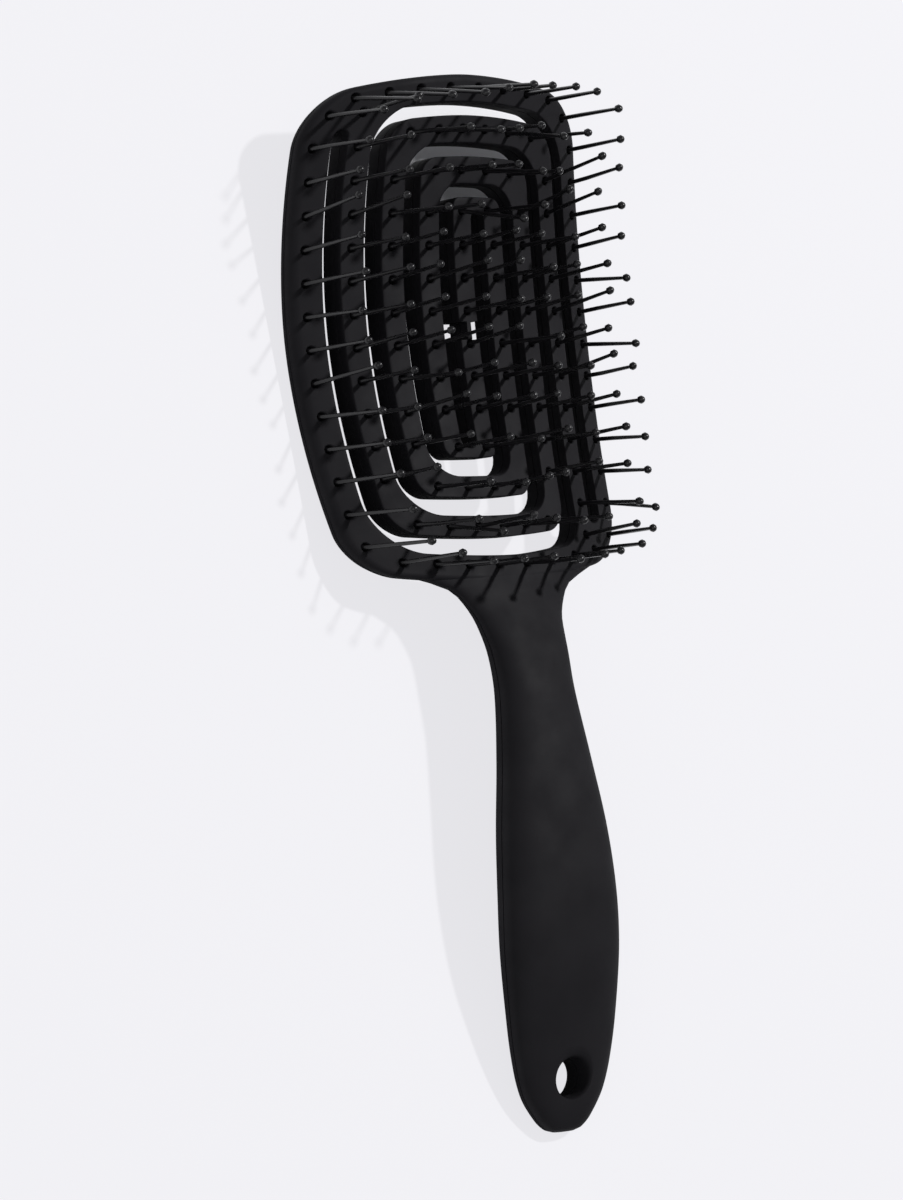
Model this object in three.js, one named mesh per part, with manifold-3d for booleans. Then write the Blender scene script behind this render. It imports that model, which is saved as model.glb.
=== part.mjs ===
// Vented paddle hair brush with a double-spiral head and ball-tipped pins.
// Millimetres. The brush lies on its back, pins up (+Z), head towards +Y.
import * as THREE from 'three';
import { mergeVertices } from 'three/addons/utils/BufferGeometryUtils.js';
import Module from 'manifold-3d';

const wasm = await Module();
wasm.setup();

// Head, measured from its centre
const headHalfLength = 57.9;
const rimWidth = 6.7;
const rimCornerRadius = 12.5;
const ribPitch = 9.6;
const outerSlotPitches = 3.5;
const slotWidth = 4.4;
const topSlotWidth = 3.0;
const bottomSlotWidth = 4.2;
const crossPitch = 9.15;
const rimEndWidth = 6.2;
const frontDepth = 2.75;
const backDepth = 4.3;
const rimRound = 1.9;
const backRound = 4;
const slotFlare = 0.4;
const rimShoulder = 0.57;
const sideBulge = 3.4;
const bulgeSpan = 50;
const bulgeBlend = 12;
const endCrown = 1.7;
const crownSpan = 25;
const crownBlend = 20;
const spiralCornerRadius = 9;
const slotEndInset = 3.2;
const centreSlotGap = 6.6;
const notchLength = 3.6;
const notchDepth = 1.8;

// Form of the head: concave lengthwise, crowned sideways
const lengthwiseRadius = 200;
const crosswiseRadius = 97;
const headTilt = -0.0386;
const saddleMargin = 7.9;
const saddleFade = 25;

// Handle stations: distance past the head's lower edge, half width, half thickness, height of parting line
const handleStations = [
  [-4.9, 23.5, 2.6, null],
  [-1.4, 21.6, 2.7, null],
  [0.6, 18.4, 2.9, null],
  [3.1, 15.4, 3.3, null],
  [8.1, 12.4, 4.2, 9.7],
  [16.1, 10.2, 5.2, 11.9],
  [25.1, 10, 5.8, 13.1],
  [40.1, 11.8, 6.6, 14.4],
  [56.1, 14.2, 7.1, 15.2],
  [70.1, 15.4, 7.1, 15.4],
  [82.1, 15.7, 6.7, 14.8],
  [94.1, 14.9, 6.0, 13.7],
  [106.1, 13.4, 5.2, 12.3],
  [115.1, 11, 4.5, 11.2],
  [120.8, 7.4, 3.6, 10.7],
  [123.3, 4.7, 2.7, 10.5],
  [124, 2.7, 1.6, 10.5],
].map(([past, ...sizes]) => [-headHalfLength - past, ...sizes]);
const handleSquareness = 2.5;
const handleWall = 2.4;
const cavityEnds = [18.1, 96.1].map((past) => -headHalfLength - past);
const hangHoleRadius = 4.6;
const hangHoleFlare = 1.2;
const hangHoleToTip = 12;
const postRadius = 1.6;
const bossWall = 1.5;
const postInset = 14;

// Pins and the nylon strips that carry them
const rowPitch = 7.5;
const rowOffset = 4.5;
const acrossPitch = 8.15;
const pinLength = 18.2;
const pinRadius = 0.5;
const ballRadius = 0.85;
const pinHoleRadius = 1.0;
const stripWidth = 2.0;
const stripHeight = 1.1;

// Fits and facets
const clearance = 0.3;
const landDepth = 0.5;
const facetLength = 11;
const cornerFacets = 3;
const handleRows = 18;
const handleSides = 14;
const tipGathering = 0.9;
const hangHoleSides = 14;
const postSides = 8;
const bossSides = 10;
const pinSides = 4;
const holeSides = 4;
const weld = 1e-4;
const span = 600;

const frameColour = 0x1b1b1d;
const pinColour = 0x2a2a2d;

// Sizes that follow
const plateThickness = frontDepth + backDepth;
const halfGap = clearance / 2;
const halfSlot = slotWidth / 2;
const rimInner = outerSlotPitches * ribPitch + halfSlot;
const headHalfWidth = rimInner + rimWidth;
const rimRowX = rimInner + rimWidth / 2;
const slotX = (ring) => (outerSlotPitches - ring) * ribPitch;
const topSlotY = (ring) => headHalfLength - rimEndWidth - topSlotWidth / 2 - ring * crossPitch;
const bottomSlotY = (ring) => -headHalfLength + rimEndWidth + bottomSlotWidth / 2 + ring * crossPitch;
const topBarY = (ring) => topSlotY(ring) - crossPitch / 2;
const bottomBarY = (ring) => bottomSlotY(ring) + crossPitch / 2;
const rimEndRowY = headHalfLength - rimEndWidth / 2;
const rimRowRadius = rimCornerRadius - rimWidth / 2;
const rimRowReach = rimEndRowY - rimRowRadius;
const rimCornerRowY = rimRowReach + rimRowRadius * Math.SQRT1_2;
const saddleEnd = -headHalfLength + saddleMargin;
const tipY = handleStations[handleStations.length - 1][0];
const hangHoleY = tipY + hangHoleToTip;

// Plan warp: the sides swell at mid length and the two ends are crowned
const swell = (x, y) => sideBulge * (y / bulgeSpan) ** 2 * x / Math.hypot(x, bulgeBlend);
const crown = (x, y) => endCrown * (x / crownSpan) ** 2 * y / Math.hypot(y, crownBlend);
const warp = (x, y) => [x - swell(x, y), y - crown(x, y)];

// Rows of pins along the ribs are evenly spaced, and those of the rim follow its crowned corners
const ribWarp = (x, y) => [x - swell(x, y), y];
const rimWarp = (x, y) => {
  const corner = THREE.MathUtils.smoothstep(Math.abs(y), rimRowReach, rimCornerRowY);
  return [x - swell(x, y), y - corner * crown(x, y)];
};

// Smooth value of one station column at y, as a cubic through its neighbours
function along(stations, y, column) {
  let i = 0;
  while (i < stations.length - 2 && y < stations[i + 1][0]) i += 1;
  const slope = (k) => {
    const a = stations[Math.max(k - 1, 0)];
    const b = stations[Math.min(k + 1, stations.length - 1)];
    return (b[column] - a[column]) / (b[0] - a[0]);
  };
  const [p, q] = [stations[i], stations[i + 1]];
  const step = q[0] - p[0];
  const t = Math.min(Math.max((y - p[0]) / step, 0), 1);
  const [t2, t3] = [t * t, t * t * t];
  return p[column] * (2 * t3 - 3 * t2 + 1) + slope(i) * step * (t3 - 2 * t2 + t)
    + q[column] * (3 * t2 - 2 * t3) + slope(i + 1) * step * (t3 - t2);
}

// Height of the parting surface between the front and the back moulding
const headProfile = (y) => y * y / (2 * lengthwiseRadius) + headTilt * y - frontDepth;
const profileStations = [0, 1 / 3, 2 / 3, 0.86, 1]
  .map((share) => [-share * headHalfLength, headProfile(-share * headHalfLength)])
  .concat(handleStations.filter((s) => s[3] !== null).map((s) => [s[0], s[3]]));
function partingHeight(x, y) {
  const spine = y > saddleEnd ? headProfile(y) : along(profileStations, y, 1);
  const fade = THREE.MathUtils.smoothstep(y, saddleEnd - saddleFade, saddleEnd);
  return spine - fade * x * x / (2 * crosswiseRadius);
}

// Solids: pieces are joined and cut while flat, then formed on the parting surface
function solid(geometry) {
  const bare = geometry.index ? geometry.toNonIndexed() : geometry;
  bare.deleteAttribute('normal');
  bare.deleteAttribute('uv');
  const merged = mergeVertices(bare, weld);
  return new wasm.Manifold(new wasm.Mesh({
    numProp: 3,
    vertProperties: new Float32Array(merged.attributes.position.array),
    triVerts: new Uint32Array(merged.index.array),
  }));
}

const joined = (solids) => solids.reduce((a, b) => a.add(b));

// Skin over rings of equal count, given as [x, y, z] points, closed at both ends
function loft(rings) {
  const count = rings[0].length;
  const flat = rings[0].map((p) => new THREE.Vector2(p[0], p[1]));
  const caps = THREE.ShapeUtils.triangulateShape(flat, []);
  const index = [];
  for (const [a, b, c] of caps) {
    index.push(c, b, a);
    const top = (rings.length - 1) * count;
    index.push(top + a, top + b, top + c);
  }
  for (let r = 0; r < rings.length - 1; r += 1) {
    for (let i = 0; i < count; i += 1) {
      const j = (i + 1) % count;
      const [a, b] = [r * count + i, r * count + j];
      index.push(a, b, b + count, a, b + count, a + count);
    }
  }
  const geometry = new THREE.BufferGeometry();
  geometry.setAttribute('position', new THREE.Float32BufferAttribute(rings.flat(2), 3));
  geometry.setIndex(index);
  return solid(geometry);
}

// Polyline with its corners rounded and its runs split into facets, in head coordinates
function route(points, radii) {
  const out = [];
  const add = (x, y) => {
    const last = out[out.length - 1];
    if (last) {
      const length = Math.hypot(x - last[0], y - last[1]);
      const steps = Math.max(1, Math.ceil(length / facetLength - 0.01));
      for (let k = 1; k < steps; k += 1) {
        out.push([last[0] + (x - last[0]) * k / steps, last[1] + (y - last[1]) * k / steps]);
      }
      if (length < weld) return;
    }
    out.push([x, y]);
  };
  points.forEach(([x, y], i) => {
    if (i === 0 || i === points.length - 1) {
      add(x, y);
      return;
    }
    const before = new THREE.Vector2(points[i - 1][0] - x, points[i - 1][1] - y).normalize();
    const after = new THREE.Vector2(points[i + 1][0] - x, points[i + 1][1] - y).normalize();
    const r = radii[i - 1];
    const centre = [x + (before.x + after.x) * r, y + (before.y + after.y) * r];
    for (let k = 0; k <= cornerFacets; k += 1) {
      const angle = k / cornerFacets * Math.PI / 2;
      add(centre[0] - after.x * r * Math.cos(angle) - before.x * r * Math.sin(angle),
        centre[1] - after.y * r * Math.cos(angle) - before.y * r * Math.sin(angle));
    }
  });
  return out;
}

// Ribbon outline around a route, with round or square ends, anticlockwise, bent into the head's plan
function ribbon(path, halfWidth, roundEnds, bend) {
  const tangent = (i) => {
    const a = path[Math.max(i - 1, 0)];
    const b = path[Math.min(i + 1, path.length - 1)];
    const length = Math.hypot(b[0] - a[0], b[1] - a[1]);
    return [(b[0] - a[0]) / length, (b[1] - a[1]) / length];
  };
  const right = [];
  const left = [];
  path.forEach(([x, y], i) => {
    const [tx, ty] = tangent(i);
    const w = halfWidth(tx, ty, y);
    right.push([x + ty * w, y - tx * w]);
    left.unshift([x - ty * w, y + tx * w]);
  });
  const end = (i, sign) => {
    const [x, y] = path[i];
    const [tx, ty] = tangent(i);
    const w = halfWidth(tx, ty, y);
    return [1, 2].map((k) => {
      const angle = k / 3 * Math.PI - Math.PI / 2;
      const [c, s] = [Math.cos(angle) * sign, Math.sin(angle) * sign];
      return [x + (tx * c - ty * s) * w, y + (ty * c + tx * s) * w];
    });
  };
  const outline = roundEnds
    ? [...right, ...end(path.length - 1, 1), ...left, ...end(0, -1)]
    : [...right, ...left];
  return outline.map(([x, y]) => bend(x, y));
}

const level = (outline, z) => outline.map(([x, y]) => [x, y, z]);

// Split long edges so that the formed faces follow the curve
function refine(positions, triangles) {
  let [points, faces] = [positions, triangles];
  for (let pass = 0; pass < 6; pass += 1) {
    const middle = new Map();
    const mid = (a, b) => {
      const [p, q] = [points[a], points[b]];
      if (Math.hypot(p[0] - q[0], p[1] - q[1]) < facetLength * 1.25) return -1;
      const key = a < b ? `${a},${b}` : `${b},${a}`;
      if (!middle.has(key)) {
        middle.set(key, points.length);
        points.push([(p[0] + q[0]) / 2, (p[1] + q[1]) / 2, (p[2] + q[2]) / 2]);
      }
      return middle.get(key);
    };
    const next = [];
    for (const [a, b, c] of faces) {
      const [ab, bc, ca] = [mid(a, b), mid(b, c), mid(c, a)];
      const cut = [ab, bc, ca].filter((m) => m >= 0).length;
      if (cut === 0) next.push([a, b, c]);
      else if (cut === 3) next.push([a, ab, ca], [ab, b, bc], [ca, bc, c], [ab, bc, ca]);
      else {
        // Turn the corner list so that the first edge is cut and, of two cuts, the third is not
        let [p, q, r, pq, qr, rp] = [a, b, c, ab, bc, ca];
        while (pq < 0 || (cut === 2 && rp >= 0)) [p, q, r, pq, qr, rp] = [q, r, p, qr, rp, pq];
        if (cut === 1) next.push([p, pq, r], [pq, q, r]);
        else next.push([pq, q, qr], [p, pq, qr], [p, qr, r]);
      }
    }
    if (middle.size === 0) break;
    faces = next;
  }
  return [points, faces];
}

function corners(body) {
  const mesh = body.getMesh();
  const points = [];
  for (let i = 0; i < mesh.vertProperties.length; i += mesh.numProp) {
    points.push([...mesh.vertProperties.slice(i, i + 3)]);
  }
  const faces = [];
  for (let i = 0; i < mesh.triVerts.length; i += 3) faces.push([...mesh.triVerts.slice(i, i + 3)]);
  return [points, faces];
}

function surface(points, faces) {
  const geometry = new THREE.BufferGeometry();
  geometry.setAttribute('position', new THREE.Float32BufferAttribute(points.flat(), 3));
  geometry.setIndex(faces.flat());
  return geometry;
}

function formed(body) {
  const [points, faces] = refine(...corners(body));
  return surface(points.map(([x, y, z]) => [x, y, z + partingHeight(x, y)]), faces);
}

// Head plate with its rounded rim
function headOutline(inset) {
  const [w, h, r] = [headHalfWidth - inset, headHalfLength - inset, rimCornerRadius - inset];
  const ring = route([[0, -h], [w, -h], [w, h], [-w, h], [-w, -h], [0, -h]], [r, r, r, r]);
  return ring.slice(0, -1).map(([x, y]) => warp(x, y));
}

function headPlate() {
  const round = (z, inset) => level(headOutline(inset), z);
  const backEdge = [0, Math.PI / 6, Math.PI / 3, Math.PI / 2].map((turn) => (
    round(-backDepth + backRound * (1 - Math.cos(turn)), backRound * (1 - Math.sin(turn)))
  ));
  return loft([
    ...backEdge,
    round(frontDepth - rimRound, 0),
    round(frontDepth - rimShoulder, rimShoulder),
    round(frontDepth, rimRound),
  ]);
}

// The two interleaved spiral slots, each one unbroken cut with flared edges
const spiralRadii = [0, 1, 2, 3, 4, 5].map((turn) => spiralCornerRadius - turn);
const firstSlot = [
  [-slotX(0), topSlotY(0) - slotEndInset],
  [-slotX(0), bottomSlotY(0)],
  [slotX(1), bottomSlotY(0)],
  [slotX(1), topSlotY(1)],
  [-slotX(2), topSlotY(1)],
  [-slotX(2), bottomSlotY(2)],
  [slotX(3), bottomSlotY(2)],
  [slotX(3), topSlotY(2) - centreSlotGap],
];
const secondSlot = [
  [slotX(0), bottomSlotY(0) + slotEndInset],
  [slotX(0), topSlotY(0)],
  [-slotX(1), topSlotY(0)],
  [-slotX(1), bottomSlotY(1)],
  [slotX(2), bottomSlotY(1)],
  [slotX(2), topSlotY(2)],
  [-slotX(3), topSlotY(2)],
  [-slotX(3), bottomSlotY(2) + centreSlotGap],
];

function slotCutter(points) {
  const path = route(points, spiralRadii);
  const half = (extra) => (tx, ty, y) => {
    const endWidth = y > 0 ? topSlotWidth : bottomSlotWidth;
    return (slotWidth * ty * ty + endWidth * tx * tx) / 2 + extra;
  };
  const straight = frontDepth - slotFlare;
  const past = slotFlare * 2;
  return loft([
    level(ribbon(path, half(0), true, warp), -plateThickness),
    level(ribbon(path, half(0), true, warp), straight),
    level(ribbon(path, half(past), true, warp), straight + past),
  ]);
}

// Two notches that leave a slim link in the middle of the centre rib
function notchCutter(side) {
  const depth = notchDepth + slotWidth / 2;
  const box = new THREE.BoxGeometry(depth, notchLength, plateThickness * 2);
  box.translate(side * (ribPitch / 2 - depth / 2), 0, 0);
  return solid(box);
}

// Handle, lofted through its stations, optionally as the smaller body of its cavity
function handleBody(inset, from, to) {
  const rings = [];
  for (let k = 0; k <= handleRows; k += 1) {
    const share = k / handleRows;
    const y = from + (to - from) * (inset ? share : Math.sin(share * Math.PI / 2) ** tipGathering);
    const a = along(handleStations, y, 1) - inset;
    const b = along(handleStations, y, 2) - inset;
    const ring = [];
    for (let s = 0; s < handleSides; s += 1) {
      const angle = s / handleSides * 2 * Math.PI;
      const [c, n] = [Math.cos(angle), Math.sin(angle)];
      const power = 2 / handleSquareness;
      ring.push([
        a * Math.sign(c) * Math.abs(c) ** power,
        y,
        b * Math.sign(n) * Math.abs(n) ** power,
      ]);
    }
    rings.push(ring);
  }
  return sectionLoft(rings);
}

// Skin over upright sections, closed by a fan at each end
function sectionLoft(rings) {
  const count = rings[0].length;
  const middle = (ring) => [0, ring[0][1], 0];
  const points = [...rings.flat(), middle(rings[0]), middle(rings[rings.length - 1])];
  const index = [];
  for (let r = 0; r < rings.length - 1; r += 1) {
    for (let i = 0; i < count; i += 1) {
      const j = (i + 1) % count;
      const [a, b] = [r * count + i, r * count + j];
      index.push(a, b, b + count, a, b + count, a + count);
    }
  }
  const last = (rings.length - 1) * count;
  for (let i = 0; i < count; i += 1) {
    const j = (i + 1) % count;
    index.push(rings.length * count, j, i);
    index.push(rings.length * count + 1, last + i, last + j);
  }
  const geometry = new THREE.BufferGeometry();
  geometry.setAttribute('position', new THREE.Float32BufferAttribute(points.flat(), 3));
  geometry.setIndex(index);
  return solid(geometry);
}

function upright(radius, bottom, top, x, y, sides) {
  const geometry = new THREE.CylinderGeometry(radius, radius, top - bottom, sides);
  geometry.rotateX(Math.PI / 2);
  geometry.translate(x, y, (top + bottom) / 2);
  return solid(geometry);
}

// Hang hole with rounded mouths, turned about its own axis
function hangHoleCutter() {
  const deep = along(handleStations, hangHoleY, 2);
  const profile = [
    [0, -deep * 2], [hangHoleRadius + deep + hangHoleFlare, -deep * 2],
    [hangHoleRadius + hangHoleFlare, -deep], [hangHoleRadius, -deep + 2 * hangHoleFlare],
    [hangHoleRadius, deep - 2 * hangHoleFlare], [hangHoleRadius + hangHoleFlare, deep],
    [hangHoleRadius + deep + hangHoleFlare, deep * 2], [0, deep * 2],
  ].map(([x, y]) => new THREE.Vector2(x, y));
  const geometry = new THREE.LatheGeometry(profile, hangHoleSides);
  geometry.rotateX(Math.PI / 2);
  geometry.translate(0, hangHoleY, 0);
  return solid(geometry);
}

// Rows of pins on each bar: positions in head coordinates and the route of the strip below them
const rows = (from, to) => {
  const list = [];
  for (let y = rowOffset + 7 * rowPitch; y > -headHalfLength; y -= rowPitch) {
    if (y < from && y > to) list.push(y);
  }
  return list;
};
const columns = (from, to) => {
  const list = [];
  for (let k = -4; k <= 4; k += 1) {
    const x = k * acrossPitch;
    if (x > from && x < to) list.push(x);
  }
  return list;
};
const upBar = (x, from, to) => {
  const ys = rows(from, to);
  return { pins: ys.map((y) => ribWarp(x, y)), path: [[x, ys[0]], [x, ys[ys.length - 1]]], bend: ribWarp };
};
const crossBar = (y, from, to) => {
  const xs = columns(from, to);
  return { pins: xs.map((x) => warp(x, y)), path: [[xs[0], y], [xs[xs.length - 1], y]], bend: warp };
};

// A rim side also carries one pin in each of its two corners
function rimSide(side) {
  const cornerX = side * (rimRowX - rimRowRadius * (1 - Math.SQRT1_2));
  const sides = rows(rimRowReach, -rimRowReach).map((y) => [side * rimRowX, y]);
  const pins = [[cornerX, rimCornerRowY], ...sides, [cornerX, -rimCornerRowY]];
  const arc = (sign) => [0, 0.5, 1].map((t) => {
    const angle = t * Math.PI / 4;
    const x = rimRowX - rimRowRadius * (1 - Math.cos(angle));
    return [side * x, sign * (rimRowReach + rimRowRadius * Math.sin(angle))];
  });
  return {
    pins: pins.map(([x, y]) => rimWarp(x, y)),
    path: [...arc(1).reverse(), ...arc(-1)],
    bend: rimWarp,
  };
}

const cornerRoom = ribPitch * 0.6;
const tailReach = ribPitch * 0.4;
const rimEndReach = headHalfWidth - rimCornerRadius;
const strips = {
  pin_strip_rim_left: rimSide(-1),
  pin_strip_rim_right: rimSide(1),
  pin_strip_rim_top: crossBar(rimEndRowY, -rimEndReach, rimEndReach),
  pin_strip_rim_bottom: crossBar(-rimEndRowY, -rimEndReach, rimEndReach),
  pin_strip_first_arm_outer: upBar(-3 * ribPitch, topBarY(0), bottomBarY(0) + cornerRoom),
  pin_strip_first_arm_bottom: crossBar(bottomBarY(0), -3 * ribPitch, 2 * ribPitch),
  pin_strip_first_arm_right: upBar(2 * ribPitch, topBarY(1) - cornerRoom, bottomBarY(0) + cornerRoom),
  pin_strip_first_arm_top: crossBar(topBarY(1), -ribPitch, 2 * ribPitch),
  pin_strip_first_arm_inner: upBar(-ribPitch, topBarY(1) - cornerRoom, bottomBarY(2) + cornerRoom),
  pin_strip_first_arm_tail: crossBar(bottomBarY(2), -ribPitch, tailReach),
  pin_strip_second_arm_outer: upBar(3 * ribPitch, topBarY(0) - cornerRoom, bottomBarY(0)),
  pin_strip_second_arm_top: crossBar(topBarY(0), -2 * ribPitch, 3 * ribPitch),
  pin_strip_second_arm_left: upBar(-2 * ribPitch, topBarY(0) - cornerRoom, bottomBarY(1) + cornerRoom),
  pin_strip_second_arm_bottom: crossBar(bottomBarY(1), -2 * ribPitch, ribPitch),
  pin_strip_second_arm_inner: upBar(ribPitch, topBarY(2) - cornerRoom, bottomBarY(1) + cornerRoom),
  pin_strip_second_arm_tail: crossBar(topBarY(2), -tailReach, ribPitch),
  pin_strip_centre: upBar(0, topBarY(2) - cornerRoom, bottomBarY(2) + cornerRoom),
};

// Rail of a strip, or its channel when given room
function rail({ path, bend }, room) {
  const over = stripWidth / 2 + room;
  const ends = path.map(([x, y]) => [x, y]);
  const stretch = (a, b) => {
    const length = Math.hypot(a[0] - b[0], a[1] - b[1]);
    return [a[0] + (a[0] - b[0]) / length * over, a[1] + (a[1] - b[1]) / length * over];
  };
  ends[0] = stretch(path[0], path[1]);
  ends[ends.length - 1] = stretch(path[path.length - 1], path[path.length - 2]);
  const points = [ends[0]];
  for (let i = 1; i < ends.length; i += 1) points.push(...route([ends[i - 1], ends[i]], []).slice(1));
  const outline = ribbon(points, () => over, false, bend);
  const bottom = room ? -frontDepth : halfGap;
  return loft([level(outline, bottom), level(outline, halfGap + stripHeight + room)]);
}

// Ball-tipped pin rising from inside its rail
function pin([x, y]) {
  const top = frontDepth + pinLength;
  const profile = [
    [0, halfGap + stripHeight / 2], [pinRadius, halfGap + stripHeight / 2],
    [pinRadius, top - ballRadius * 1.9], [ballRadius, top - ballRadius * 0.8], [0, top],
  ].map(([r, z]) => new THREE.Vector2(r, z));
  const geometry = new THREE.LatheGeometry(profile, pinSides);
  geometry.rotateX(Math.PI / 2);
  geometry.translate(x, y, 0);
  return solid(geometry);
}

const pinHole = ([x, y]) => upright(pinHoleRadius, 0, plateThickness, x, y, holeSides);

// Both mouldings come from one body, parted by a thin gap
function halfSpace(side) {
  const box = new THREE.BoxGeometry(span, span, span);
  box.translate(0, 0, side * (span / 2 + halfGap));
  return solid(box);
}

const slots = joined([slotCutter(firstSlot), slotCutter(secondSlot), notchCutter(1), notchCutter(-1)]);
const body = headPlate()
  .subtract(slots)
  .add(handleBody(0, handleStations[0][0], tipY))
  .subtract(hangHoleCutter());
const cavity = handleBody(handleWall, ...cavityEnds);
const stripList = Object.values(strips);
const channels = joined(stripList.map((strip) => rail(strip, clearance)));
const holes = joined(stripList.flatMap((strip) => strip.pins.map(pinHole)));

// Posts of the back moulding stand in bosses of the front one
const postPlaces = [cavityEnds[0] - postInset, cavityEnds[1] + postInset];
const depthAt = (y) => along(handleStations, y, 2) - handleWall / 2;
const postsOf = (radius, bottom, top, sides) => joined(
  postPlaces.map((y) => upright(radius, bottom(y), top(y), 0, y, sides)),
);
const posts = postsOf(postRadius, (y) => -depthAt(y), (y) => depthAt(y) / 2, postSides);
const bosses = postsOf(postRadius + clearance + bossWall, () => halfGap, depthAt, bossSides);
const sockets = postsOf(postRadius + clearance, () => -span, (y) => depthAt(y) / 2 + clearance, postSides);

const frontBody = body.intersect(halfSpace(1)).subtract(cavity).add(bosses).subtract(sockets)
  .subtract(channels).subtract(holes);
const backBody = body.intersect(halfSpace(-1)).subtract(cavity).add(posts);

// Resting pose: the brush lies on the two sides of its rim and on the tail of its handle
const backGeometry = formed(backBody);
function lowest(geometry, tilt, keep) {
  const p = geometry.attributes.position;
  let best = null;
  for (let i = 0; i < p.count; i += 1) {
    const [y, z] = [p.getY(i), p.getZ(i)];
    const height = y * Math.sin(tilt) + z * Math.cos(tilt);
    if (keep(y) && (!best || height < best.height)) best = { y, z, height };
  }
  return best;
}
let restTilt = 0;
for (let k = 0; k < 6; k += 1) {
  const rim = lowest(backGeometry, restTilt, (y) => y > -headHalfLength);
  const tail = lowest(backGeometry, restTilt, (y) => y < hangHoleY + hangHoleRadius);
  restTilt = Math.atan2(tail.z - rim.z, rim.y - tail.y);
}
const restHeight = lowest(backGeometry, restTilt, () => true).height;

// Flats on the contact places, cut by the plane that the brush rests on
function landed(geometry) {
  const table = new THREE.BoxGeometry(span, span, span);
  table.translate(0, 0, span / 2 + restHeight + landDepth);
  table.rotateX(-restTilt);
  return surface(...corners(solid(geometry).intersect(solid(table))));
}

const frameMaterial = new THREE.MeshStandardMaterial({ color: frameColour, roughness: 0.55, metalness: 0 });
const pinMaterial = new THREE.MeshStandardMaterial({ color: pinColour, roughness: 0.35, metalness: 0 });

const brush = new THREE.Group();
brush.rotation.x = restTilt;
function place(name, geometry, material) {
  const mesh = new THREE.Mesh(geometry, material);
  mesh.name = name;
  brush.add(mesh);
}

place('front_frame', formed(frontBody), frameMaterial);
place('back_cover', landed(backGeometry), frameMaterial);
for (const [name, strip] of Object.entries(strips)) {
  place(name, formed(joined([rail(strip, 0), ...strip.pins.map(pin)])), pinMaterial);
}

// Origin under the middle of the brush, on the surface that it rests on
brush.updateMatrixWorld(true);
const box = new THREE.Box3().setFromObject(brush, true);
brush.position.set(-(box.min.x + box.max.x) / 2, -(box.min.y + box.max.y) / 2, -box.min.z);

const assembly = new THREE.Group();
assembly.add(brush);
export default assembly;
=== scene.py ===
import math
import bpy
import numpy as np
from mathutils import Matrix, Vector


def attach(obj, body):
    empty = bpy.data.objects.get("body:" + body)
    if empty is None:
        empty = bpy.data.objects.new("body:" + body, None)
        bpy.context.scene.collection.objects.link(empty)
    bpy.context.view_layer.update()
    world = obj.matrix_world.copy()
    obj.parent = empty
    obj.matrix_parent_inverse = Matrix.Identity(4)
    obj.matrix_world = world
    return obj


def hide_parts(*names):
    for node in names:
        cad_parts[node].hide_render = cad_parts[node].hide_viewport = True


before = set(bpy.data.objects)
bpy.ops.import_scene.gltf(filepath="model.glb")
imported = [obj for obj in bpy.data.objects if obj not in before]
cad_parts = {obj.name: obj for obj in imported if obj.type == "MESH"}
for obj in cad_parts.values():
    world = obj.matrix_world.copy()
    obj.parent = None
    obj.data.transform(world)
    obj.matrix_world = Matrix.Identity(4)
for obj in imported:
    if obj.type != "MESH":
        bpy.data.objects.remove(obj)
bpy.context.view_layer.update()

mm = 0.001

# head of the brush, in mm from its own centre, +y to the top of the head
head = {
    "halfLength": 57.9,
    "rimWidth": 6.75,
    "rimEndWidth": 6.2,
    "topCorner": 11.0,
    "bottomCorner": (9.5, 11.0),  # left, right
    "ribPitch": 9.6,
    "outerSlotAt": 3.5,  # rib pitches from the middle to the outermost slot
    "crossPitch": 9.15,
    "slotWidth": 4.3,
    "slotTaper": 0.008,
    "outerSlotTrim": 0.25,
    "topSlotWidth": 3.0,
    "bottomSlotWidth": 4.2,
    "frontDepth": 2.75,
    "backDepth": 3.85,
    "frontRound": 1.9,
    "backRound": 3.7,
    "frontEdge": 0.3,
    "backEdge": 0.2,
    "slotEndInset": 3.2,
    "centreSlotGap": 6.6,
    "notchLength": 4.2,
    "notchDepth": 2.1,
    "sideBulge": 3.4,  # sides come in by this much at bulgeAt from the middle
    "bulgeAt": 50.0,
    "bulgeBlend": 12.0,
    "topCrown": 1.75,  # ends fall off by this much at crownAt from the middle
    "bottomCrown": (1.5, 2.0),  # left, right
    "crownAt": 25.0,
    "crownBlend": 20.0,
    "lengthwiseRadius": 200.0,
    "crosswiseRadius": 97.0,
    "tilt": -0.0386,
    "partingGap": 0.24,
}

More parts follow.
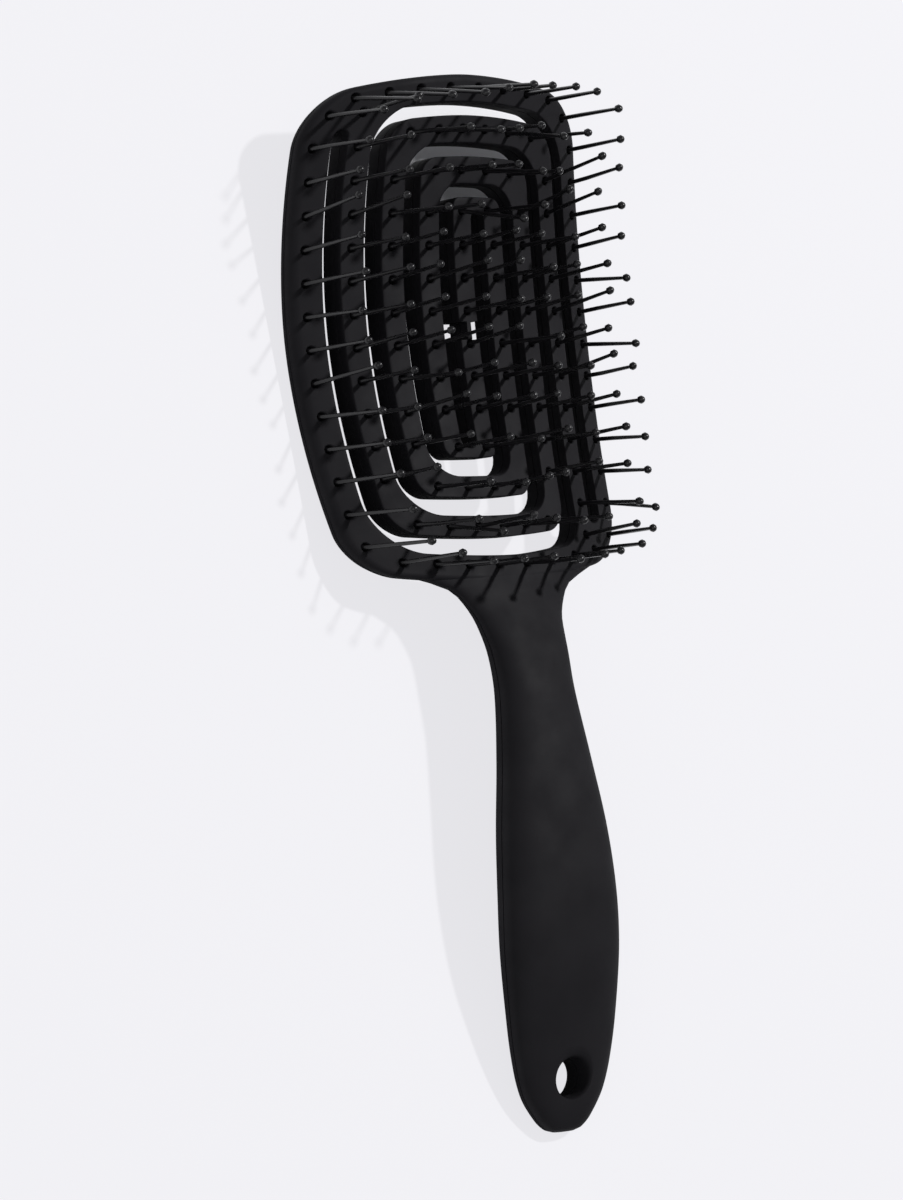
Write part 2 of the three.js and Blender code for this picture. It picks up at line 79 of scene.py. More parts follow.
# handle stations: y, half width, half thickness
handle = {
    "stations": [(-53, 27, 2.6), (-55.6, 26, 2.6), (-56.2, 24.6, 2.65), (-56.6, 22.8, 2.65), (-57, 21, 2.7),
                 (-57.4, 19.4, 2.8), (-58.3, 17.6, 2.95), (-60.1, 15.3, 3.25), (-62.4, 13.6, 3.6),
                 (-65, 12.1, 4.05), (-68, 11.1, 4.5), (-74, 10.2, 5.2), (-83, 10, 5.8), (-98, 11.8, 6.6),
                 (-114, 14.2, 7.1), (-128, 15.4, 7.1), (-140, 15.7, 6.7), (-152, 14.9, 6.0),
                 (-164, 13.4, 5.2), (-173, 11, 4.5), (-178.7, 7.4, 3.6), (-181.2, 4.7, 2.7),
                 (-181.9, 2.7, 1.6)],
    "spine": [(-66, 9.7), (-74, 11.9), (-83, 13.1), (-98, 14.4), (-114, 15.2), (-128, 15.4), (-140, 14.8),
              (-152, 13.7), (-164, 12.3), (-173, 11.2), (-178.7, 10.7), (-181.2, 10.5), (-181.9, 10.5)],
    "squareness": 2.5,
    "holeRadius": 4.6,
    "holeRound": 1.5,
    "holeToTip": 12.0,
    "holeMouth": (3.0, 1.2),  # the cutter flares on past the face: out, up
    "saddleFull": -50.0,
    "saddleGone": -75.0,
    "backDeepFull": -56.0,
    "backDeepGone": -82.0,
    "rowSpacing": 0.9,
}
profileKnots = (0.0, -20.0, -40.0, -50.0, -58.0)  # where the spine follows the head

# how the brush lies: turned about x, then lifted and moved, in mm
rest = {"tilt": 0.126555, "shift": (0.0, 62.461, 14.936)}

# how finely the skins are divided
detail = {
    "outlinePoints": 420,
    "outlineStep": 0.25,
    "slotStep": 0.8,
    "cornerTurns": 25,
    "capTurns": 17,
    "faceRings": 44,
    "edgeRings": 11,
    "underRings": 24,
    "innermostRing": 0.02,
    "handleRows": 150,
    "handleArc": 41,
    "hangHoleSides": 48,
    "pinHoleSides": 14,
    "pinSides": 8,
    "shellSharp": 40,  # edges over this many degrees stay sharp
    "pinSharp": 50,
}

halfGap = head["partingGap"] / 2
cutBelow = 1.0  # cutters reach this far past the parting
rimInner = head["outerSlotAt"] * head["ribPitch"] + head["slotWidth"] / 2
headHalfWidth = rimInner + head["rimWidth"]


def warpPlan(xy, crowned=1.0, swollen=1.0):
    # sides come in by the square of the distance from mid length, ends fall off by that from the middle line
    x, y = xy[..., 0], xy[..., 1]
    swell = swollen * head["sideBulge"] * (y / head["bulgeAt"]) ** 2 * x / np.hypot(x, head["bulgeBlend"])
    high = np.where(y > 0, head["topCrown"], np.where(x < 0, *head["bottomCrown"]))
    crown = crowned * high * (x / head["crownAt"]) ** 2 * y / np.hypot(y, head["crownBlend"])
    return np.stack([x - swell, y - crown], -1)


def smoothThrough(knots, column, y):
    # cubic through the knots, each slope taken from the two neighbours
    k = np.array(sorted(knots), float)
    ys, vs = k[:, 0], k[:, column]
    spot = np.arange(len(ys))
    before, after = np.maximum(spot - 1, 0), np.minimum(spot + 1, len(ys) - 1)
    slope = (vs[after] - vs[before]) / (ys[after] - ys[before])
    i = np.clip(np.searchsorted(ys, y) - 1, 0, len(ys) - 2)
    step = ys[i + 1] - ys[i]
    t = np.clip((y - ys[i]) / step, 0, 1)
    return (vs[i] * (2 * t**3 - 3 * t**2 + 1) + slope[i] * step * (t**3 - 2 * t**2 + t)
            + vs[i + 1] * (3 * t**2 - 2 * t**3) + slope[i + 1] * step * (t**3 - t**2))


def headProfile(y):
    return y * y / (2 * head["lengthwiseRadius"]) + head["tilt"] * y - head["frontDepth"]


def partingHeight(x, y):
    # saddle under the head, running into the spine of the handle
    full, gone = handle["saddleFull"], handle["saddleGone"]
    knots = [(v, float(headProfile(v))) for v in profileKnots] + handle["spine"]
    spine = np.where(y > full, headProfile(y), smoothThrough(knots, 1, np.minimum(y, 0.0)))
    t = np.clip((y - gone) / (full - gone), 0, 1)
    return spine - t * t * (3 - 2 * t) * x * x / (2 * head["crosswiseRadius"])


def toRow(p):
    # flat mm (x, y, height over the parting) to the row frame in metres
    p = np.asarray(p, float)
    z = p[:, 2] + partingHeight(p[:, 0], p[:, 1])
    c, s = math.cos(rest["tilt"]), math.sin(rest["tilt"])
    turned = np.stack([p[:, 0], p[:, 1] * c - z * s, p[:, 1] * s + z * c], 1)
    return (turned + np.array(rest["shift"])) * mm


def resample(points, step):
    # even spacing along a polyline
    points = np.asarray(points, float)
    run = np.concatenate([[0], np.cumsum(np.hypot(*np.diff(points, axis=0).T))])
    count = max(2, int(round(run[-1] / step)) + 1)
    at = np.linspace(0, run[-1], count)
    return np.stack([np.interp(at, run, points[:, 0]), np.interp(at, run, points[:, 1])], 1)


def roundedRoute(points, radii, step):
    # straight runs with a quarter circle at each corner
    points = np.asarray(points, float)
    out = [points[:1]]
    turn = np.linspace(0, math.pi / 2, detail["cornerTurns"])[:, None]
    for before, corner, after, r in zip(points[:-2], points[1:-1], points[2:], radii):
        a = (before - corner) / np.linalg.norm(before - corner)
        b = (after - corner) / np.linalg.norm(after - corner)
        out.append(corner + (a + b) * r - b * r * np.cos(turn) - a * r * np.sin(turn))
    out.append(points[-1:])
    return resample(np.concatenate(out), step)


def gridFaces(rows, cols):
    # quads over a grid of rows by cols points, closed round the columns
    i, j = np.meshgrid(np.arange(rows - 1), np.arange(cols), indexing="ij")
    a = i * cols + j
    b = i * cols + (j + 1) % cols
    return np.stack([a, b, b + cols, a + cols], -1).reshape(-1, 4)


def tube(rings):
    # closed skin over rings of equal count: quads between rings, one face on each end
    rings = np.asarray(rings, float)
    rows, cols = rings.shape[:2]
    faces = gridFaces(rows, cols).tolist()
    faces.append(list(range(cols))[::-1])
    faces.append(list(range((rows - 1) * cols, rows * cols)))
    return rings.reshape(-1, 3), faces


def makeObject(name, points, faces):
    mesh = bpy.data.meshes.new(name)
    mesh.from_pydata(np.asarray(points).tolist(), [], [list(f) for f in faces])
    mesh.update()
    piece = bpy.data.objects.new(name, mesh)
    bpy.context.scene.collection.objects.link(piece)
    return piece


def joinSkins(skins):
    # several closed skins as one list of points and faces
    points, faces, start = [], [], 0
    for p, f in skins:
        points.append(p)
        faces += [[start + k for k in face] for face in f]
        start += len(p)
    return np.concatenate(points), faces


def carve(piece, skins, operation):
    cutter = makeObject("cutter", *joinSkins(skins))
    step = piece.modifiers.new("carve", "BOOLEAN")
    step.solver = "EXACT"
    step.operation = operation
    step.object = cutter
    carved = bpy.data.meshes.new_from_object(piece.evaluated_get(bpy.context.evaluated_depsgraph_get()))
    piece.modifiers.clear()
    old = piece.data
    piece.data = carved
    bpy.data.meshes.remove(old)
    bpy.data.objects.remove(cutter)


def formPiece(piece):
    # bend the flat piece onto its saddle and put it where the CAD part lies
    mesh = piece.data
    flat = np.empty(len(mesh.vertices) * 3)
    mesh.vertices.foreach_get("co", flat)
    placed = toRow(flat.reshape(-1, 3))
    placed[:, 2] = np.maximum(placed[:, 2], 0)  # flats where it touches the floor
    mesh.vertices.foreach_set("co", placed.ravel())
    mesh.update()
    mesh.shade_smooth()
    mesh.set_sharp_from_angle(angle=math.radians(detail["shellSharp"]))


def headOutline(inset):
    # rounded oblong, drawn in by the inset, then warped
    w, h = headHalfWidth - inset, head["halfLength"] - inset
    top, (left, right) = head["topCorner"], head["bottomCorner"]
    corners = [(0, -h), (w, -h), (w, h), (-w, h), (-w, -h), (0, -h)]
    ring = roundedRoute(corners, np.array([right, top, top, left]) - inset, detail["outlineStep"])
    run = np.concatenate([[0], np.cumsum(np.hypot(*np.diff(ring, axis=0).T))])
    at = np.linspace(0, run[-1], detail["outlinePoints"], endpoint=False)
    return warpPlan(np.stack([np.interp(at, run, ring[:, 0]), np.interp(at, run, ring[:, 1])], 1))


def faceOf(side):
    # depth of a face from the parting, and the round of its outer edge
    return (head["frontDepth"], head["frontRound"]) if side > 0 else (head["backDepth"], head["backRound"])


def plateSkin(side):
    # rings from the middle of the face out to the rim, round its edge, and back under it
    depth, r = faceOf(side)
    ring = lambda xy, h: np.concatenate([xy, np.full((len(xy), 1), side * h)], 1)
    middle = detail["innermostRing"]
    rings = [ring(headOutline(r) * s, depth) for s in np.linspace(middle, 1, detail["faceRings"])]
    rings += [ring(headOutline(r * (1 - math.sin(t))), depth - r * (1 - math.cos(t)))
              for t in np.linspace(0, math.pi / 2, detail["edgeRings"])[1:]]
    rings += [ring(headOutline(0), halfGap)]
    rings += [ring(headOutline(0) * s, halfGap) for s in np.linspace(1, middle, detail["underRings"])[1:]]
    points, faces = tube(rings)
    return points, (faces if side < 0 else [f[::-1] for f in faces])


def slotX(ring):
    return (head["outerSlotAt"] - ring) * head["ribPitch"]


def endSlotY(ring, width):
    return head["halfLength"] - head["rimEndWidth"] - width / 2 - ring * head["crossPitch"]


def topSlotY(ring):
    return endSlotY(ring, head["topSlotWidth"])


def bottomSlotY(ring):
    return -endSlotY(ring, head["bottomSlotWidth"])


def besideRoute(path, extra):
    # heading, side direction and half width along the middle of a slot
    ahead = np.gradient(path, axis=0)
    ahead /= np.linalg.norm(ahead, axis=1, keepdims=True)
    side = np.stack([ahead[:, 1], -ahead[:, 0]], 1)
    endWidth = np.where(path[:, 1] > 0, head["topSlotWidth"], head["bottomSlotWidth"])
    trim = np.interp(np.abs(path[:, 0]), [slotX(1), slotX(0)], [0, head["outerSlotTrim"]])
    sideWidth = head["slotWidth"] - head["slotTaper"] * path[:, 1] - trim
    half = ((sideWidth * ahead[:, 1] ** 2 + endWidth * ahead[:, 0] ** 2) / 2 + extra)[:, None]
    return ahead, side, half


def ribbonOutline(outer, inner, extra):
    # outer and inner edge of a slot, each with its own corners, and round ends
    ahead, side, half = besideRoute(outer, extra)
    turn = np.linspace(-math.pi / 2, math.pi / 2, detail["capTurns"])[1:-1, None]
    cap = lambda k, sign: outer[k] + sign * half[k] * (ahead[k] * np.cos(turn) - side[k] * np.sin(turn))
    right = outer + side * half
    _, side2, half2 = besideRoute(inner, extra)
    left = inner - side2 * half2
    return warpPlan(np.concatenate([right, cap(-1, 1), left[::-1], cap(0, -1)]))


def slotSkin(slot, side):
    # slot cutter: straight walls, then a rounded edge that opens out at the face
    outer = roundedRoute(slot["route"], slot["outerCorners"], detail["slotStep"])
    inner = roundedRoute(slot["route"], slot["innerCorners"], detail["slotStep"])
    depth, r = faceOf(side)[0], head["frontEdge"] if side > 0 else head["backEdge"]
    turns = np.radians([0, 18, 36, 54, 70])
    levels = [(0.0, -cutBelow)] + [(r * (1 - math.cos(t)), depth - r + r * math.sin(t)) for t in turns]
    last, past = levels[-1], 0.4
    levels.append((last[0] + past * math.tan(turns[-1]), last[1] + past))  # clear of the face
    rings = []
    for extra, h in levels:
        xy = ribbonOutline(outer, inner, extra)
        rings.append(np.concatenate([xy, np.full((len(xy), 1), side * h)], 1))
    points, faces = tube(rings)
    return points, (faces if side > 0 else [f[::-1] for f in faces])


# the two slots wind inwards; corners are radii along the middle of the slot
firstSlot = {
    "route": [(-slotX(0), topSlotY(0) - head["slotEndInset"]), (-slotX(0), bottomSlotY(0)),
              (slotX(1), bottomSlotY(0)), (slotX(1), topSlotY(1)), (-slotX(2), topSlotY(1)),
              (-slotX(2), bottomSlotY(2)), (slotX(3), bottomSlotY(2)),
              (slotX(3), topSlotY(2) - head["centreSlotGap"])],
    "outerCorners": (9, 3.5, 7, 6, 5, 2.5),
    "innerCorners": (9, 8, 7, 6, 5, 4),
}
secondSlot = {
    "route": [(slotX(0), bottomSlotY(0) + head["slotEndInset"]), (slotX(0), topSlotY(0)),
              (-slotX(1), topSlotY(0)), (-slotX(1), bottomSlotY(1)), (slotX(2), bottomSlotY(1)),
              (slotX(2), topSlotY(2)), (-slotX(3), topSlotY(2)),
              (-slotX(3), bottomSlotY(2) + head["centreSlotGap"])],
    "outerCorners": (9, 8, 7, 3, 5, 4),
    "innerCorners": (9, 8, 7, 6, 5, 4),
}


def notchSkin(side):
    # notch beside the slim link in the middle of the centre rib
    depth = head["notchDepth"] + head["slotWidth"] / 2
    x0, x1 = sorted([side * head["ribPitch"] / 2, side * (head["ribPitch"] / 2 - depth)])
    y = head["notchLength"] / 2
    square = np.array([(x0, -y), (x1, -y), (x1, y), (x0, y)])
    through = 2 * head["backDepth"]
    return tube([np.concatenate([square, np.full((4, 1), h)], 1) for h in (-through, through)])


def handleSkin(side):
    # half superellipse sections along the handle, flat at the parting
    rows, arc = detail["handleRows"], detail["handleArc"]
    y0, y1 = handle["stations"][0][0], handle["stations"][-1][0]
    y = y0 + (y1 - y0) * np.sin(np.linspace(0, math.pi / 2, rows)) ** handle["rowSpacing"]
    a, b = smoothThrough(handle["stations"], 1, y), smoothThrough(handle["stations"], 2, y)
    t = np.linspace(0, math.pi, arc)
    power = 2 / handle["squareness"]
    across = np.sign(np.cos(t)) * np.abs(np.cos(t)) ** power
    up = np.abs(np.sin(t)) ** power
    if side < 0:
        full, gone = handle["backDeepFull"], handle["backDeepGone"]
        fade = np.clip((y - gone) / (full - gone), 0, 1)
        b = b + (head["backDepth"] - head["frontDepth"]) * fade * fade * (3 - 2 * fade)
    high = np.maximum(b[:, None] * up, halfGap)
    rings = np.stack([a[:, None] * across, np.repeat(y[:, None], arc, 1), side * high], -1)
    points, faces = tube(rings)
    return points, (faces if side > 0 else [f[::-1] for f in faces])


tipY = handle["stations"][-1][0]
hangHoleY = tipY + handle["holeToTip"]


def lathe(profile, sides, centre):
    # profile of (radius, height) turned about an upright axis
    profile = np.asarray(profile, float)
    t = np.arange(sides) * 2 * math.pi / sides
    rings = np.stack([centre[0] + profile[:, :1] * np.cos(t), centre[1] + profile[:, :1] * np.sin(t),
                      np.repeat(profile[:, 1:], sides, 1)], -1)
    return tube(rings)


def hangHoleSkin():
    # hole with a quarter round at both mouths
    deep = float(smoothThrough(handle["stations"], 2, np.array([hangHoleY]))[0])
    r, q = handle["holeRadius"], handle["holeRound"]
    turns = np.radians([0, 20, 40, 60, 75])
    upper = [(r + q * (1 - math.cos(t)), deep - q + q * math.sin(t)) for t in turns]
    upper.append((upper[-1][0] + handle["holeMouth"][0], upper[-1][1] + handle["holeMouth"][1]))
    return lathe([(x, -h) for x, h in upper[::-1]] + upper, detail["hangHoleSides"], (0.0, hangHoleY))


# pins: rows across the head share one grid, ends of the bars have their own spacing
pins = {
    "rowPitch": 7.5,
    "rowPhase": 4.5,
    "acrossPitch": 8.15,
    "rimEndPitch": 7.9,
    "rimEndCount": 8,
    "bottomRowIn": 1.0,
    "barEndRoom": 0.6,  # bare end of a bar, in rib pitches
    "tailReach": 0.4,
    "bottomCornerShift": (1.05, -0.98),  # bottom corner pin from the top one
    "length": 19.3,
    "radius": 0.5,
    "waist": 0.4,
    "waistFrom": 9.0,
    "neckDrop": 2.2,  # waist ends this many ball radii below the tip
    "ball": 0.98,
    "collar": 0.8,
    "collarFoot": 0.4,
    "collarTop": 1.5,
    "shaftFoot": 1.9,
    "holeRadius": 1.05,
    "holeFlare": 0.22,
    "leanIn": 0.07,
    "leanRight": 0.05,
    "leanUp": 0.05,
    "scatter": 0.045,
    "bend": 0.25,
    "seed": 7,
}

# rows with a lean of their own: slope to the right and up the head, from the first pin to the last
rowLean = {
    "rim_top": {"first": (0.19, -0.16), "last": (-0.06, -0.03), "seed": 36852},
    "rim_bottom": {"first": (0.14, 0.0), "last": (-0.07, 0.0), "seed": 58314},
    "rim_left": {"first": (0.07, 0.05), "last": (0.20, 0.0), "seed": 50298},
    "rim_right": {"first": (0.05, 0.02), "last": (-0.09, -0.06), "seed": 49343},
    "second_arm_outer": {"first": (0.10, 0.15), "last": (0.03, 0.05), "seed": 29266},
    "second_arm_top": {"first": (0.14, -0.13), "last": (0.02, -0.06), "seed": 11},
    "first_arm_top": {"first": (0.09, -0.12), "last": (0.02, -0.06), "seed": 12},
    "second_arm_tail": {"first": (0.06, -0.08), "last": (0.04, -0.05), "seed": 13},
    "first_arm_bottom": {"first": (0.12, 0.0), "last": (0.02, 0.0), "seed": 14},
    "second_arm_bottom": {"first": (0.10, 0.0), "last": (0.02, 0.0), "seed": 15},
}

rimRowX = rimInner + head["rimWidth"] / 2
rimEndRowY = head["halfLength"] - head["rimEndWidth"] / 2
topBarY = lambda ring: topSlotY(ring) - head["crossPitch"] / 2
bottomBarY = lambda ring: bottomSlotY(ring) + head["crossPitch"] / 2


def upBar(x, top, bottom):
    y = pins["rowPhase"] + pins["rowPitch"] * np.arange(7, -16, -1)
    y = y[(y < top) & (y > bottom)]
    return warpPlan(np.stack([np.full(len(y), x), y], 1), 0.0)


def crossBar(y, left, right):
    x = pins["acrossPitch"] * np.arange(-4, 5)
    x = x[(x > left) & (x < right)]
    return warpPlan(np.stack([x, np.full(len(x), y)], 1))


def rimSide(side):
    rowRadius = head["topCorner"] - head["rimWidth"] / 2
    back = rowRadius * (1 - math.sqrt(0.5))
    reach = rimEndRowY - rowRadius
    corner = warpPlan(np.array([[side * (rimRowX - back), rimEndRowY - back]]))
    along = upBar(side * rimRowX, reach, -reach)
    return np.concatenate([corner, along, corner * pins["bottomCornerShift"]])


def rimEnd(y):
    count = pins["rimEndCount"]
    x = pins["rimEndPitch"] * (np.arange(count) - (count - 1) / 2)
    return warpPlan(np.stack([x, np.full(count, y)], 1), 1.0, 0.0)


pitch = head["ribPitch"]
room = pitch * pins["barEndRoom"]
tail = pitch * pins["tailReach"]
pinRows = {
    "rim_left": rimSide(-1),
    "rim_right": rimSide(1),
    "rim_top": rimEnd(rimEndRowY),
    "rim_bottom": rimEnd(pins["bottomRowIn"] - rimEndRowY),
    "first_arm_outer": upBar(-3 * pitch, topBarY(0) + pitch / 2, bottomBarY(0) + room),
    "first_arm_bottom": crossBar(bottomBarY(0), -3 * pitch, 2 * pitch),
    "first_arm_right": upBar(2 * pitch, topBarY(1) - room, bottomBarY(0) + room),
    "first_arm_top": crossBar(topBarY(1), -pitch, 2 * pitch),
    "first_arm_inner": upBar(-pitch, topBarY(1) - room, bottomBarY(2) + room),
    "first_arm_tail": crossBar(bottomBarY(2), -pitch, tail),
    "second_arm_outer": upBar(3 * pitch, topBarY(0) - room, bottomBarY(0) - pitch / 2),
    "second_arm_top": crossBar(topBarY(0), -2 * pitch, 3 * pitch),
    "second_arm_left": upBar(-2 * pitch, topBarY(0) - room, bottomBarY(1) + room),
    "second_arm_bottom": crossBar(bottomBarY(1), -2 * pitch, pitch),
    "second_arm_inner": upBar(pitch, topBarY(2) - room, bottomBarY(1) + room),
    "second_arm_tail": crossBar(topBarY(2), -tail, pitch),
    "centre": upBar(0.0, topBarY(2) - room, bottomBarY(2) + room),
}


def pinHoleSkin(place):
    # straight hole for a pin, opening out a little at the face
    r, flare = pins["holeRadius"], pins["holeFlare"]
    top = head["frontDepth"]
    profile = [(r, -cutBelow), (r, top - flare), (r + flare, top), (r + 2 * flare, top + flare)]
    return lathe(profile, detail["pinHoleSides"], place)


def pinSkins(rowName, places, draw):
    # ball-tipped pins: a turned profile whose axis leans and bends a little, each in its own way
    top = head["frontDepth"] + pins["length"]
    ball = pins["ball"]
    t = np.radians([-58, -25, 10, 45, 75])
    profile = [(pins["collar"], pins["collarFoot"]), (pins["collar"], pins["collarTop"]),
               (pins["radius"], pins["shaftFoot"]), (pins["radius"], pins["waistFrom"]),
               (pins["waist"], top - pins["neckDrop"] * ball)]
    profile += [(ball * math.cos(a), top - ball + ball * math.sin(a)) for a in t]
    profile = np.array(profile)
    turn = np.arange(detail["pinSides"]) * 2 * math.pi / detail["pinSides"]
    right = pins["leanRight"] - pins["leanIn"] * places[:, 0] / rimRowX
    lean = np.stack([right, np.full(len(places), pins["leanUp"])], 1)
    if rowName in rowLean:
        own = rowLean[rowName]
        lean = np.linspace(own["first"], own["last"], len(places))
        draw = np.random.default_rng(own["seed"])
    lean += draw.normal(0, pins["scatter"], lean.shape)
    bend = draw.normal(0, pins["bend"], lean.shape)
    rise = np.clip(profile[:, 1] - pins["shaftFoot"], 0, None)
    share = (rise / rise.max()) ** 2
    skins = []
    for k in range(len(places)):
        shift = np.outer(rise, lean[k]) + np.outer(share, bend[k])
        x = places[k, 0] + profile[:, :1] * np.cos(turn)
        y = places[k, 1] + profile[:, :1] * np.sin(turn)
        z = np.repeat(profile[:, 1:], len(turn), 1)
        # heights follow the saddle at the foot, so that the pin stays straight as it leans
        base = partingHeight(places[k:k + 1, 0], places[k:k + 1, 1])[0] - partingHeight(x, y)
        rings = np.stack([x, y, z + base], -1)
        skins.append((rings, shift))
    return skins


def bakePins(skins):
    # rows of rings to row-frame points, with lean and bend added after the forming
    baked = []
    c, s = math.cos(rest["tilt"]), math.sin(rest["tilt"])
    for rings, shift in skins:
        flat, faces = tube(rings)
        move = np.repeat(shift, rings.shape[1], 0) * mm
        baked.append((toRow(flat) + np.stack([move[:, 0], move[:, 1] * c, move[:, 1] * s], 1), faces))
    return joinSkins(baked)


# finishes: colours and roughness range, highlight, grain per metre and its depth in metres
softTouch = {
    "dark": (0.0074, 0.0069, 0.0086, 1),
    "light": (0.0108, 0.0102, 0.0122, 1),
    "rough": (0.62, 0.76),
    "specular": 0.14,
    "grainScale": 2600,
    "grainDepth": 0.00006,
}
nylon = {
    "dark": (0.0060, 0.0056, 0.0068, 1),
    "light": (0.0095, 0.0090, 0.0104, 1),
    "rough": (0.24, 0.36),
    "specular": 0.45,
    "grainScale": 1800,
    "grainDepth": 0.00003,
}
mottle = {"toneScale": 60, "roughScale": 140, "low": 0.3, "high": 0.7, "grainStrength": 0.25}


def finish(name, look):
    made = bpy.data.materials.new(name)
    made.use_nodes = True
    tree = made.node_tree
    shader = tree.nodes["Principled BSDF"]
    shader.inputs["Specular IOR Level"].default_value = look["specular"]
    where = tree.nodes.new("ShaderNodeTexCoord")

    def noise(scale, octaves):
        node = tree.nodes.new("ShaderNodeTexNoise")
        node.inputs["Scale"].default_value = scale
        node.inputs["Detail"].default_value = octaves
        tree.links.new(where.outputs["Object"], node.inputs["Vector"])
        return node.outputs["Fac"]

    def ramp(source, low, high):
        node = tree.nodes.new("ShaderNodeValToRGB")
        node.color_ramp.elements[0].position = mottle["low"]
        node.color_ramp.elements[1].position = mottle["high"]
        node.color_ramp.elements[0].color = low
        node.color_ramp.elements[1].color = high
        tree.links.new(source, node.inputs["Fac"])
        return node.outputs["Color"]

    tone = ramp(noise(mottle["toneScale"], 3), look["dark"], look["light"])
    tree.links.new(tone, shader.inputs["Base Color"])
    low, high = look["rough"]
    rough = ramp(noise(mottle["roughScale"], 4), (low,) * 3 + (1,), (high,) * 3 + (1,))
    tree.links.new(rough, shader.inputs["Roughness"])
    bump = tree.nodes.new("ShaderNodeBump")
    bump.inputs["Strength"].default_value = mottle["grainStrength"]
    bump.inputs["Distance"].default_value = look["grainDepth"]
    tree.links.new(noise(look["grainScale"], 2), bump.inputs["Height"])
    tree.links.new(bump.outputs["Normal"], shader.inputs["Normal"])
    return made


softTouchBlack = finish("softTouchBlack", softTouch)
blackNylon = finish("blackNylon", nylon)


def dress(piece, material, node):
    piece.data.materials.clear()
    piece.data.materials.append(material)
    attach(piece, "root")
    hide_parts(node)


def buildShell(name, side):
    # one moulding: plate and handle joined, then the slots, notches and hang hole cut out
    shell = makeObject(name, *plateSkin(side))
    carve(shell, [slotSkin(firstSlot, side), slotSkin(secondSlot, side)], "DIFFERENCE")
    carve(shell, [notchSkin(1), notchSkin(-1)], "DIFFERENCE")
    carve(shell, [handleSkin(side)], "UNION")
    carve(shell, [hangHoleSkin()], "DIFFERENCE")
    return shell


frontShell = buildShell("front_shell", 1)
carve(frontShell, [pinHoleSkin(place) for row in pinRows.values() for place in row], "DIFFERENCE")
formPiece(frontShell)
dress(frontShell, softTouchBlack, "front_frame")
print("front shell", len(frontShell.data.polygons), "faces")

backShell = buildShell("back_shell", -1)
formPiece(backShell)
dress(backShell, softTouchBlack, "back_cover")
print("back shell", len(backShell.data.polygons), "faces")

draw = np.random.default_rng(pins["seed"])
for rowName, places in pinRows.items():
    row = makeObject("pins_" + rowName, *bakePins(pinSkins(rowName, places, draw)))
    row.data.shade_smooth()
    row.data.set_sharp_from_angle(angle=math.radians(detail["pinSharp"]))
    dress(row, blackNylon, "pin_strip_" + rowName)
print("pins", sum(len(p) for p in pinRows.values()))

# camera as in the photograph, taken for an image of 903 by 1200
camera = {
    "at": (-0.697173, -0.135315, 0.891859),
    "ahead": (0.60815, 0.12184, -0.78441),
    "up": (0.05025, 0.98026, 0.19122),
    "focalPixels": 5000.0,
    "imageHeight": 1200.0,
    "sensorHeight": 36.0,
}
lens = bpy.data.cameras.new("camera")
lens.sensor_fit = "VERTICAL"
lens.sensor_height = camera["sensorHeight"]
lens.lens = camera["focalPixels"] * camera["sensorHeight"] / camera["imageHeight"]
lens.clip_end = 20
eye = bpy.data.objects.new("camera", lens)
bpy.context.scene.collection.objects.link(eye)
ahead = Vector(camera["ahead"]).normalized()
right = ahead.cross(Vector(camera["up"])).normalized()
upward = right.cross(ahead)
turned = Matrix((right, upward, -ahead)).transposed().to_4x4()
eye.matrix_world = Matrix.Translation(camera["at"]) @ turned
bpy.context.scene.camera = eye

# pale floor: whitened to the camera except under the head, where the shadow shows; clear from below
studio = {
    "floorSize": 6.0,
    "floorDrop": 0.0001,
    "floorColour": (0.86, 0.86, 0.88, 1),
    "floorRoughness": 0.8,
    "floorGlow": 0.85,
    "glowColour": (0.89, 0.885, 0.92, 1),
    "underHead": {"at": (0.018, 0.1065, 0.0), "reach": (0.028, 0.021, 1.0), "fade": (0.45, 1.05)},
    "worldColour": (0.95, 0.96, 1.0, 1),
    "worldStrength": 0.21,
}
half, low = studio["floorSize"] / 2, -studio["floorDrop"]
square = [(-half, -half, low), (half, -half, low), (half, half, low), (-half, half, low)]
floor = makeObject("floor", square, [(0, 1, 2, 3)])
floorLook = bpy.data.materials.new("paleFloor")
floorLook.use_nodes = True
tree = floorLook.node_tree
place = tree.nodes.new("ShaderNodeTexCoord")


def outsideOf(spot):
    # 0 inside an ellipse on the floor, 1 outside it, with a soft edge
    away = tree.nodes.new("ShaderNodeVectorMath")
    away.operation = "SUBTRACT"
    away.inputs[1].default_value = spot["at"]
    scaled = tree.nodes.new("ShaderNodeVectorMath")
    scaled.operation = "DIVIDE"
    scaled.inputs[1].default_value = spot["reach"]
    reach = tree.nodes.new("ShaderNodeVectorMath")
    reach.operation = "LENGTH"
    fade = tree.nodes.new("ShaderNodeMapRange")
    fade.interpolation_type = "SMOOTHSTEP"
    fade.inputs["From Min"].default_value, fade.inputs["From Max"].default_value = spot["fade"]
    tree.links.new(place.outputs["Object"], away.inputs[0])
    tree.links.new(away.outputs["Vector"], scaled.inputs[0])
    tree.links.new(scaled.outputs["Vector"], reach.inputs[0])
    tree.links.new(reach.outputs["Value"], fade.inputs["Value"])
    return fade.outputs["Result"]


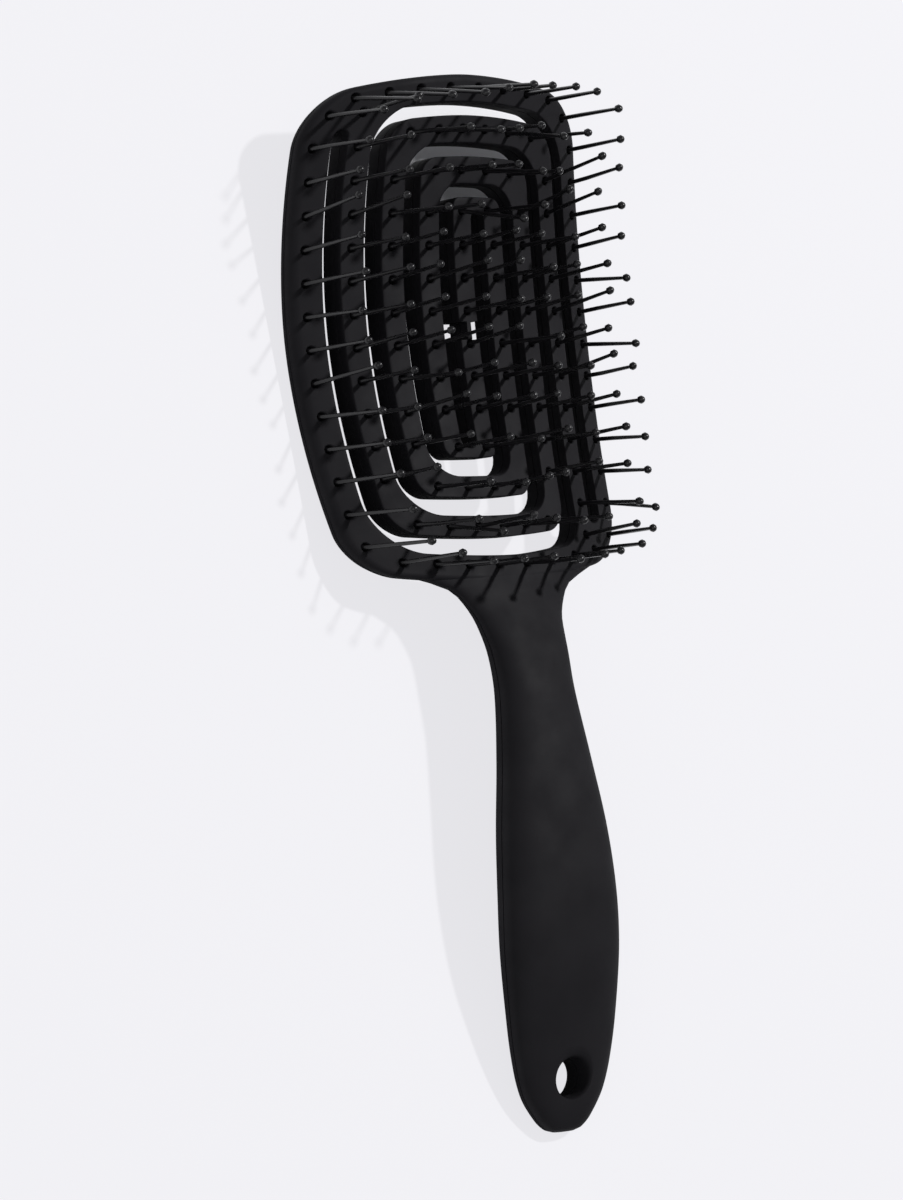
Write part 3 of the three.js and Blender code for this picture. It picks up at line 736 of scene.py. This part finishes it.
def times(first, second):
    node = tree.nodes.new("ShaderNodeMath")
    node.operation = "MULTIPLY"
    tree.links.new(first, node.inputs[0])
    if isinstance(second, float):
        node.inputs[1].default_value = second
    else:
        tree.links.new(second, node.inputs[1])
    return node.outputs[0]


paint = tree.nodes["Principled BSDF"]
paint.inputs["Roughness"].default_value = studio["floorRoughness"]
paint.inputs["Base Color"].default_value = studio["floorColour"]
glow = tree.nodes.new("ShaderNodeEmission")
glow.inputs["Color"].default_value = studio["glowColour"]
rays = tree.nodes.new("ShaderNodeLightPath")
clear = times(outsideOf(studio["underHead"]), studio["floorGlow"])
lit = tree.nodes.new("ShaderNodeMixShader")
tree.links.new(times(rays.outputs["Is Camera Ray"], clear), lit.inputs["Fac"])
tree.links.new(paint.outputs["BSDF"], lit.inputs[1])
tree.links.new(glow.outputs["Emission"], lit.inputs[2])
sides = tree.nodes.new("ShaderNodeNewGeometry")
openFloor = tree.nodes.new("ShaderNodeBsdfTransparent")
both = tree.nodes.new("ShaderNodeMixShader")
tree.links.new(sides.outputs["Backfacing"], both.inputs["Fac"])
tree.links.new(lit.outputs["Shader"], both.inputs[1])
tree.links.new(openFloor.outputs["BSDF"], both.inputs[2])
tree.links.new(both.outputs["Shader"], tree.nodes["Material Output"].inputs["Surface"])
floor.data.materials.append(floorLook)

world = bpy.data.worlds.new("studio")
world.use_nodes = True
world.node_tree.nodes["Background"].inputs["Color"].default_value = studio["worldColour"]
world.node_tree.nodes["Background"].inputs["Strength"].default_value = studio["worldStrength"]
bpy.context.scene.world = world

lamps = [
    {"name": "key", "at": (0.74, 0.51, 1.56), "size": 0.09, "watts": 28},
    {"name": "fill", "at": (-1.3, -0.3, 1.2), "size": 1.4, "watts": 6},
]
for lamp in lamps:
    light = bpy.data.lights.new(lamp["name"], "AREA")
    light.size = lamp["size"]
    light.energy = lamp["watts"]
    held = bpy.data.objects.new(lamp["name"], light)
    bpy.context.scene.collection.objects.link(held)
    held.location = lamp["at"]
    held.rotation_euler = (-Vector(lamp["at"])).to_track_quat("-Z", "Y").to_euler()
print("stage", len(lamps), "lamps")

bpy.context.scene.view_settings.view_transform = "Standard"
